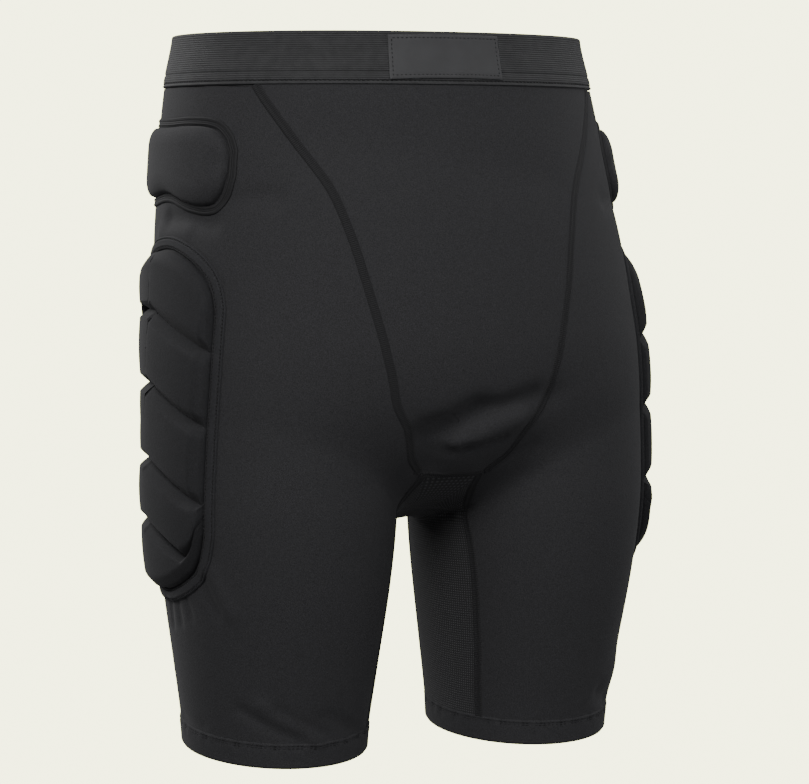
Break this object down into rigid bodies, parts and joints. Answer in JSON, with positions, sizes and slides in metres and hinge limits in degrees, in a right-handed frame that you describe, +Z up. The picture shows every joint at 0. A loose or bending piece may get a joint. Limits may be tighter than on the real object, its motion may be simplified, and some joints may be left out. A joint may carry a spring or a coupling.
{
  "type": "padded hip protection shorts",
  "caption": "Close-fitting black crash shorts as worn, with a ribbed waistband, segmented foam hip pads, thin side pads above them and a mesh crotch panel.",
  "frame": {"origin": "centre of the waist opening, level with the waistband's rim at the sides", "axes": "+X to the wearer's left, -Y to the wearer's front, +Z up"},
  "size_m": [0.367, 0.2667, 0.4824],
  "materials": {
    "elastic": "ribbed",
    "label": "smooth",
    "front_cloth": "matt",
    "leg_cloth": "matt",
    "mesh": "open mesh",
    "hem_cloth": "matt",
    "thread": "stitched",
    "pad": "matt, foam filled",
    "pad_border": "stitched",
    "side_pad": "matt, foam filled"
  },
  "bodies": {
    "root": {"waistband": "elastic", "label_patch": "label", "front_panel": "front_cloth", "left_leg_panel": "leg_cloth", "right_leg_panel": "leg_cloth", "crotch_gusset": "mesh", "left_hem": "hem_cloth", "right_hem": "hem_cloth", "left_front_seam": "thread", "right_front_seam": "thread", "back_seam": "thread", "gusset_front_seam": "thread", "gusset_back_seam": "thread", "left_side_pad_seam": "thread", "right_side_pad_seam": "thread", "left_hip_pad": "pad", "right_hip_pad": "pad", "left_hip_pad_border": "pad_border", "right_hip_pad_border": "pad_border", "left_side_pad": "side_pad", "right_side_pad": "side_pad"}
  },
  "joints": []
}
